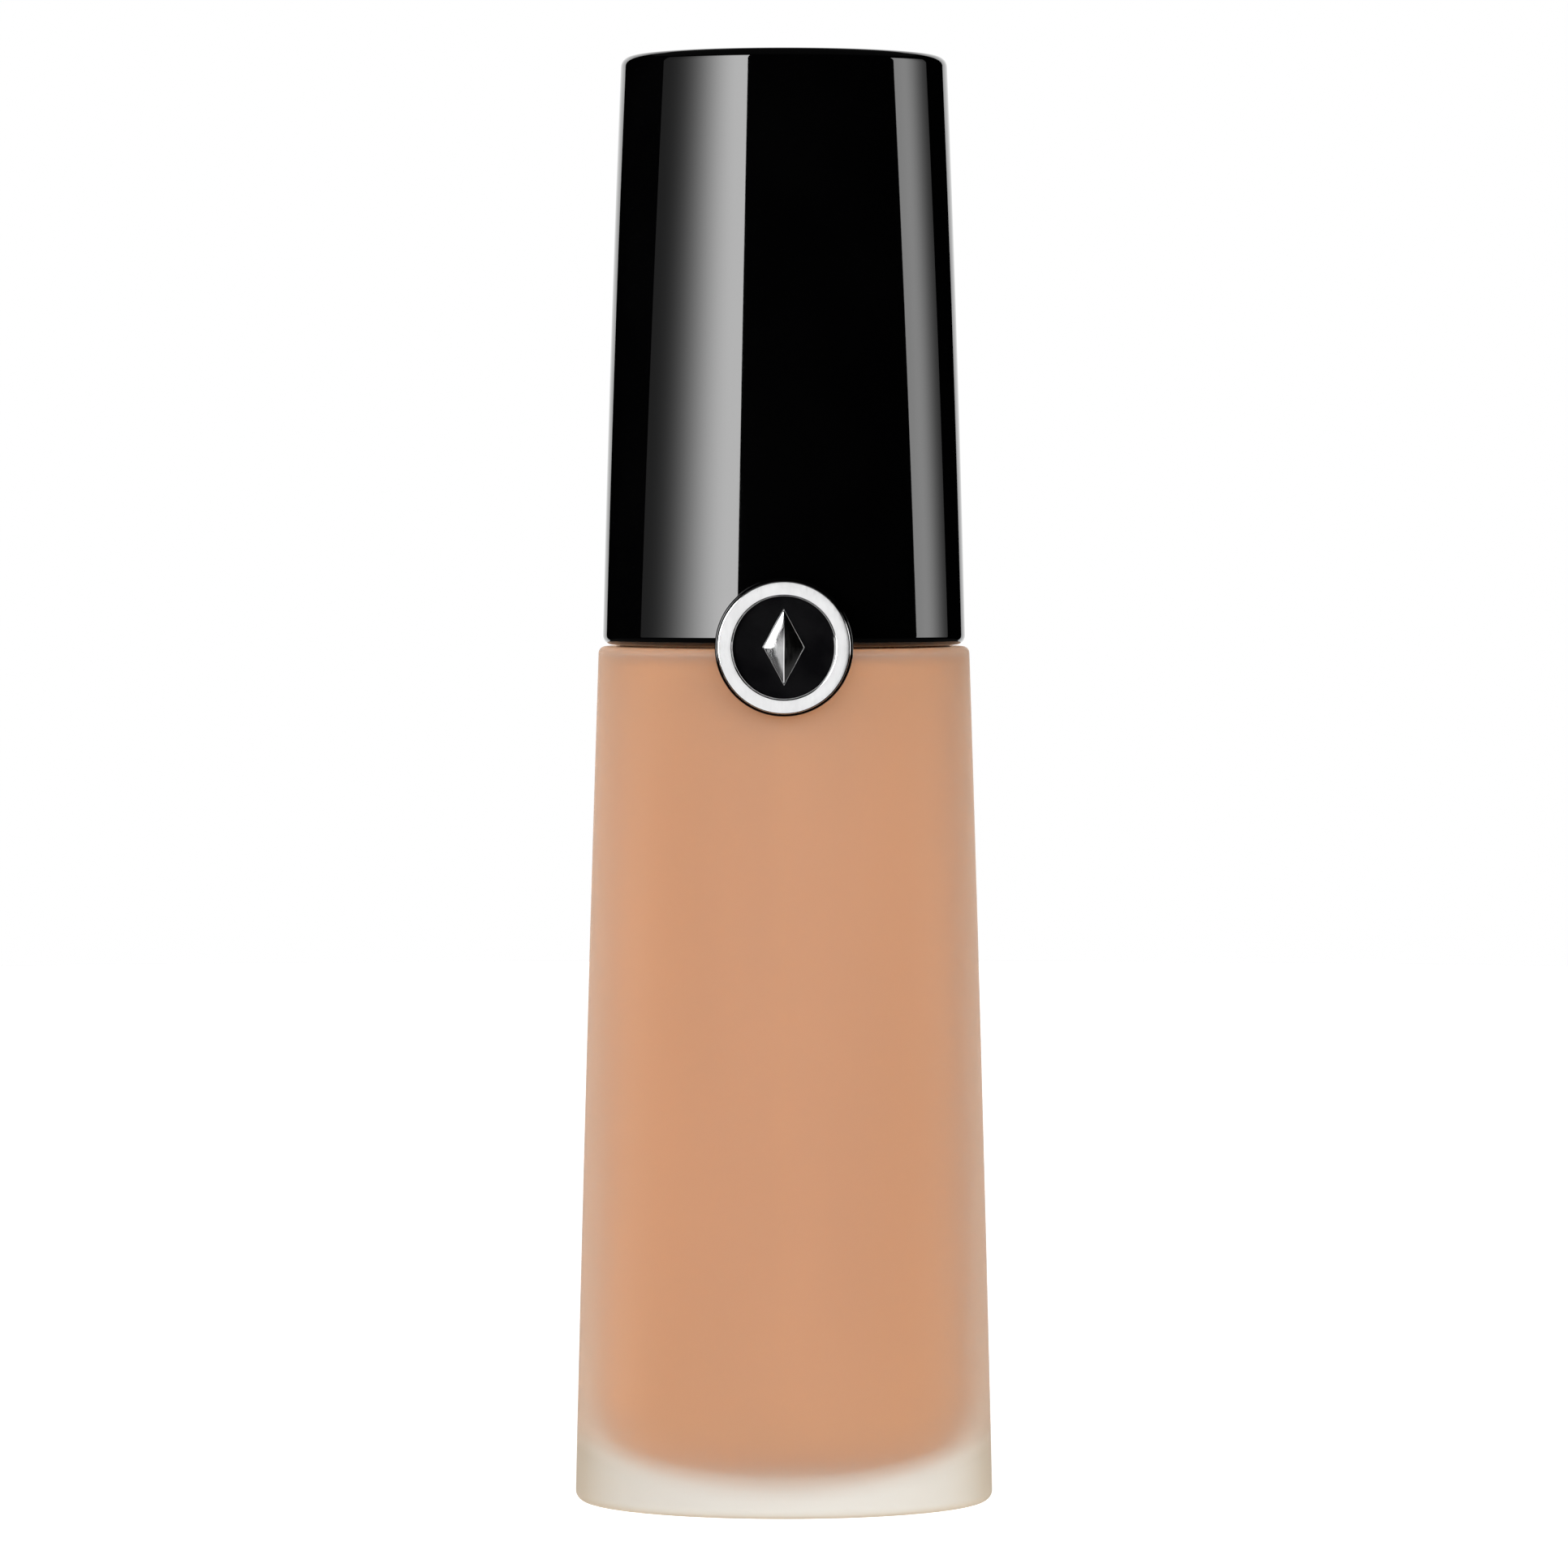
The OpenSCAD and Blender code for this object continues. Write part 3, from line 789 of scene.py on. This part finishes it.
def make_tip():
    """The flocked tip: a long drop with one slanted flat, softened all round."""
    low, length = tip_low.z, stem_low.z - tip_low.z
    widest = tip_high.x
    nose, belly = 0.7 * widest, 0.4 * length
    slant, start = math.radians(TIP_SLANT), -0.15 * widest
    nose_steps, long_steps = TIP_STEPS
    end_gap = 0.02

    def radius(z):
        if z < nose:
            return math.sqrt(max(nose ** 2 - (nose - z) ** 2, 0.01))
        if z < belly:
            t = (z - nose) / (belly - nose)
            return nose + (widest - nose) * math.sin(t * math.pi / 2)
        t = (z - belly) / (length - belly)
        return widest + (ROD_R - widest) * (0.5 - 0.5 * math.cos(min(1, t * 1.1) * math.pi))

    heights = [nose * (1 - math.cos(math.pi / 2 * i / nose_steps)) for i in range(1, nose_steps)]
    heights += [nose + (length - nose - end_gap) * i / long_steps for i in range(long_steps + 1)]
    rings = []
    for z in heights:
        ring = []
        for i in range(TIP_SIDES):
            a = math.tau * i / TIP_SIDES
            x, y = radius(z) * math.cos(a), radius(z) * math.sin(a)
            flat = start - z * math.tan(slant)
            y = 0.5 * (y + flat + math.sqrt((y - flat) ** 2 + TIP_SOFTNESS ** 2))
            ring.append((x, y, low + z))
        rings.append(ring)
    return skin("tip_flock", rings, (0, 0.1, low + 0.005), (0, 0, low + length - end_gap))


# ---------------------------------------------------------------- the medallion

def make_seat():
    """The black disc behind the emblem, recessed for it, with two staked pins through the cap's wall."""
    floor = SEAT_T - RECESS_T
    inner = ring_r - STEP_BACK + FIT
    profile = [(seat_r * 0.5, 0), (seat_r - 0.08, 0), (seat_r, 0.08), (seat_r, SEAT_T - SEAT_EDGE)]
    profile += arc(seat_r - SEAT_EDGE, SEAT_T - SEAT_EDGE, SEAT_EDGE, 15, 90, 5)
    profile += [(inner, SEAT_T), (inner, floor), (inner * 0.5, floor)]
    piece = lathe("medallion_disc", profile, SIDES)
    head_r, head_t = PIN_HEAD
    pin_end = -(seat_back_reach() - head_t)
    for side in (-1, 1):
        head = pin_end - head_t
        profile = [(head_r * 0.6, head), (head_r - 0.1, head + 0.04), (head_r, head + 0.15)]
        profile += [(head_r, pin_end), (PIN_R, pin_end), (PIN_R, 0.1)]
        pin = lathe("pin", profile, PIN_SIDES)
        for v in pin.data.vertices:
            v.co += Vector((side * PIN_X, PIN_UP, 0)) * MM
        combine(piece, pin, "UNION")
    return to_front(piece, pad_y)


def seat_back_reach():
    """How far the seat's pins reach behind the medallion's plane."""
    return seat_high.y - pad_y


def make_emblem():
    """A bright ring on a thin backing, and a lozenge whose four facets meet in a point."""
    r = RING_EDGE
    back = FIT - RECESS_T
    step = ring_r - STEP_BACK
    profile = [(ring_r * 0.5, back), (step, back), (step, 0.0), (ring_r, 0.0), (ring_r, RING_T - r)]
    profile += arc(ring_r - r, RING_T - r, r, 15, 90, 5)
    profile += arc(hole_r + r, RING_T - r, r, 90, 180, 6)
    profile += [(hole_r, 0.0), (hole_r * 0.5, 0.0)]
    piece = lathe("emblem_ring", profile, SIDES)
    combine(piece, make_lozenge(), "UNION")
    return to_front(piece, seat_front)


def make_lozenge():
    """The lozenge, face up, with its upper edges rounded."""
    width, height = LOZENGE
    corners = [(width / 2, 0), (0, height / 2), (-width / 2, 0), (0, -height / 2)]
    shape = bmesh.new()
    foot = [shape.verts.new((x, y, -LOZENGE_ROOT)) for x, y in corners]
    brim = [shape.verts.new((x, y, LOZENGE_WALL)) for x, y in corners]
    peak = shape.verts.new((0, 0, LOZENGE_T))
    shape.faces.new(reversed(foot))
    for i in range(4):
        j = (i + 1) % 4
        shape.faces.new((foot[i], foot[j], brim[j], brim[i]))
        shape.faces.new((brim[i], brim[j], peak))
    round_off(shape, [e for e in shape.edges if max(v.co.z for v in e.verts) > 0], LOZENGE_EDGE)
    for v in shape.verts:
        v.co *= MM
    mesh = bpy.data.meshes.new("lozenge")
    bmesh.ops.recalc_face_normals(shape, faces=shape.faces)
    shape.to_mesh(mesh)
    shape.free()
    piece = bpy.data.objects.new("lozenge", mesh)
    bpy.context.scene.collection.objects.link(piece)
    return piece


def make_infill():
    """Black lacquer between the ring and the lozenge, drawn up a little where it meets the metal."""
    half_w, half_h = LOZENGE[0] / 2 + FIT, LOZENGE[1] / 2 + FIT
    creep, creep_power = CREEP
    top, bottom = [], []
    for k in range(INFILL_STEPS + 1):
        s = k / INFILL_STEPS
        height = INFILL_T - creep + creep * abs(2 * s - 1) ** creep_power
        ring, under = [], []
        for i in range(SIDES):
            a = math.tau * i / SIDES
            inner = 1 / (abs(math.cos(a)) / half_w + abs(math.sin(a)) / half_h)
            r = inner + (hole_r - FIT - inner) * s
            ring.append((r * math.cos(a), r * math.sin(a), height))
            under.append((r * math.cos(a), r * math.sin(a), 0))
        top.append(ring)
        bottom.append(under)
    return to_front(closed_loop("emblem_lacquer", top + [bottom[-1], bottom[0]]), seat_front - 2 * FIT)


finish_piece(make_glass(), "bottle", ["glass_bottle"], materials["frosted_glass"])
finish_piece(make_fill(), "bottle", ["foundation_fill"], materials["foundation"])
finish_piece(make_neck_insert(), "bottle", ["neck_insert"], materials["natural_plastic"])
finish_piece(make_wiper(), "bottle", ["wiper"], materials["soft_plastic"])
finish_piece(make_cap(), "cap", ["cap_shell"], materials["black_gloss"])
finish_piece(make_wand(), "cap", ["wand_stem"], materials["stem_plastic"])
finish_piece(make_tip(), "cap", ["applicator_tip"], materials["flock"], sharp=80)
finish_piece(make_seat(), "cap", ["medallion_seat"], materials["black_gloss"])
finish_piece(make_emblem(), "cap", ["medallion_emblem"], materials["bright_chrome"])
finish_piece(make_infill(), "cap", ["emblem_infill"], materials["black_lacquer"])

for node, slot in {"base_label": "label_paper", "inner_cap": "liner_plastic", "cap_weight": "weight_steel",
                   "seal_washer": "washer_rubber"}.items():
    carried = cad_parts[node].data.materials
    carried.clear()
    carried.append(materials[slot])


# ---------------------------------------------------------------- stage, lights and camera

def stage_object(name, points, faces, material, **shown):
    """A piece of the set: its points are in metres, and what it doesn't show to is named as False."""
    mesh = bpy.data.meshes.new(name)
    mesh.from_pydata(points, [], faces)
    mesh.materials.append(material)
    piece = bpy.data.objects.new(name, mesh)
    bpy.context.scene.collection.objects.link(piece)
    for ray, value in shown.items():
        setattr(piece, "visible_" + ray, value)
    return piece


def glow_material(name, strength):
    """Emission from a point attribute called glow, times a strength."""
    material = bpy.data.materials.new(name)
    material.use_nodes = True
    nodes, links = material.node_tree.nodes, material.node_tree.links
    nodes.clear()
    glow = nodes.new("ShaderNodeAttribute")
    glow.attribute_name = "glow"
    times = nodes.new("ShaderNodeMath")
    times.operation = "MULTIPLY"
    times.inputs[1].default_value = strength
    emission = nodes.new("ShaderNodeEmission")
    output = nodes.new("ShaderNodeOutputMaterial")
    links.new(glow.outputs["Fac"], times.inputs[0])
    links.new(times.outputs[0], emission.inputs["Strength"])
    links.new(emission.outputs["Emission"], output.inputs["Surface"])
    return material


def softbox(name, start, end, low, high, strength, glow, radius=0.95, **shown):
    """A bowed softbox round the object. start and end are azimuths from the front, left below zero."""
    columns, rows = 48, 6
    points, values = [], []
    for i in range(columns + 1):
        azimuth = math.radians(start + (end - start) * i / columns)
        for j in range(rows + 1):
            z = low + (high - low) * j / rows
            points.append((radius * math.sin(azimuth), -radius * math.cos(azimuth), z))
            values.append(glow(math.degrees(azimuth)))
    faces = []
    for i in range(columns):
        for j in range(rows):
            a = i * (rows + 1) + j
            faces.append((a, a + 1, a + rows + 2, a + rows + 1))
    piece = stage_object(name, points, faces, glow_material(name, strength), **shown)
    attribute = piece.data.attributes.new("glow", "FLOAT", "POINT")
    attribute.data.foreach_set("value", values)
    return piece


def brighter_to_camera(tree, low, high):
    """A strength that is high where the camera looks straight at something, and low for its light."""
    ray = tree.nodes.new("ShaderNodeLightPath")
    span = tree.nodes.new("ShaderNodeMapRange")
    span.inputs["To Min"].default_value = low
    span.inputs["To Max"].default_value = high
    tree.links.new(ray.outputs["Is Camera Ray"], span.inputs["Value"])
    return span.outputs["Result"]


def make_floor():
    """A round pale floor that its light carries almost to white."""
    material = bpy.data.materials.new("studio_floor")
    material.use_nodes = True
    shader = material.node_tree.nodes["Principled BSDF"]
    shader.inputs["Base Color"].default_value = (0.5, 0.5, 0.5, 1)
    shader.inputs["Roughness"].default_value = 0.8
    shader.inputs["Specular IOR Level"].default_value = 0.1
    shader.inputs["Emission Color"].default_value = (1, 1, 1, 1)
    strength = brighter_to_camera(material.node_tree, 0.4, 0.95)
    material.node_tree.links.new(strength, shader.inputs["Emission Strength"])
    sides, radius = 96, 0.6
    rim = [(radius * math.cos(math.tau * i / sides), radius * math.sin(math.tau * i / sides), 0)
           for i in range(sides)]
    stage_object("studio_floor", rim, [tuple(range(sides))], material, glossy=False, shadow=False)


def make_world():
    """White where the camera looks past the object, and close to dark for the light on it."""
    world = bpy.data.worlds.new("studio")
    bpy.context.scene.world = world
    world.use_nodes = True
    ground = world.node_tree.nodes["Background"]
    ground.inputs["Color"].default_value = (1, 1, 1, 1)
    strength = brighter_to_camera(world.node_tree, 0.035, 1.0)
    world.node_tree.links.new(strength, ground.inputs["Strength"])


def link_light(light, names, state, slot="receiver_collection"):
    """Keeps a light to the named pieces (INCLUDE), or off them (EXCLUDE). The slot blocker_collection says
    in the same way which pieces cast its shadows."""
    pieces = bpy.data.collections.new(light.name + "_" + slot)
    for name in names:
        pieces.objects.link(bpy.data.objects[name])
    for entry in pieces.collection_objects:
        entry.light_linking.link_state = state
    setattr(light.light_linking, slot, pieces)


def make_lights():
    """Two softboxes that the cap mirrors, a light each for the glass and the liquid, a card for the emblem,
    and a wall behind that the cap's edges mirror and that shines through the glass."""
    hidden = {"camera": False, "shadow": False}
    behind = (150, 210, -0.2, 0.9)
    filled = ["bottle_glass", "foundation_liquid"]
    medallion = ["medallion_disc", "emblem_ring", "emblem_lacquer"]

    def even(_):
        return 1.0

    def left_glow(a):
        return math.exp(-(max(-a - 30, 0) / 25.5) ** 2) + 0.02

    def right_glow(a):
        return math.exp(-(max(a - 90, 0) / 16.0) ** 2) + 0.04

    def glass_glow(a):
        return (1.0 - 0.005 * a) * max(math.cos(math.radians(0.8 * a)), 0.2)

    def liquid_glow(a):
        sine = math.sin(math.radians(a))
        return 1.0 - 0.4 * sine + 0.13 * sine ** 2

    def card_glow(a):
        return 1.0 if a > -9 else 0.5

    left = softbox("left_softbox", -93, -25, -0.05, 0.55, 11.0, left_glow, **hidden)
    right = softbox("right_softbox", 82.6, 119, -0.05, 0.42, 4.1, right_glow, **hidden)
    glass = softbox("glass_light", -180, 180, 0.02, 0.8, 2.45, glass_glow, radius=1.0, **hidden)
    liquid = softbox("liquid_light", -180, 180, -0.2, 0.6, 1.92, liquid_glow, radius=1.05, **hidden)
    card = softbox("emblem_card", -22, 7, -0.25, 0.15, 1.0, card_glow, radius=0.6, **hidden)
    softbox("back_wall", *behind, 1.2, even, transmission=False, diffuse=False, **hidden)
    softbox("backdrop_glow", *behind, 0.75, even, glossy=False, **hidden)
    softbox("front_fill", -70, 70, 0.0, 0.8, 0.25, even, radius=1.1, camera=False, glossy=False)
    link_light(left, filled, "EXCLUDE")
    link_light(right, filled, "EXCLUDE")
    link_light(glass, filled[:1], "INCLUDE")
    link_light(liquid, filled[1:], "INCLUDE")
    link_light(liquid, medallion, "EXCLUDE", "blocker_collection")
    link_light(card, ["emblem_ring"], "INCLUDE")
    link_light(bpy.data.objects["studio_floor"], filled[1:], "EXCLUDE")


def make_camera():
    """Level with the cap's lower half, aimed at the object's middle, with a long lens. In metres."""
    away, height, aim = 0.520, 0.077, 0.0548
    span = 0.1195
    camera = bpy.data.objects.new("camera", bpy.data.cameras.new("camera"))
    bpy.context.scene.collection.objects.link(camera)
    camera.location = (0, -away, height)
    line = Vector((0, 0, aim)) - camera.location
    camera.rotation_euler = line.to_track_quat("-Z", "Y").to_euler()
    camera.data.sensor_width = 36
    camera.data.lens = camera.data.sensor_width * line.length / span
    camera.data.clip_start = 0.01
    bpy.context.scene.camera = camera


make_floor()
make_world()
make_lights()
make_camera()
bpy.context.scene.view_settings.view_transform = "Standard"
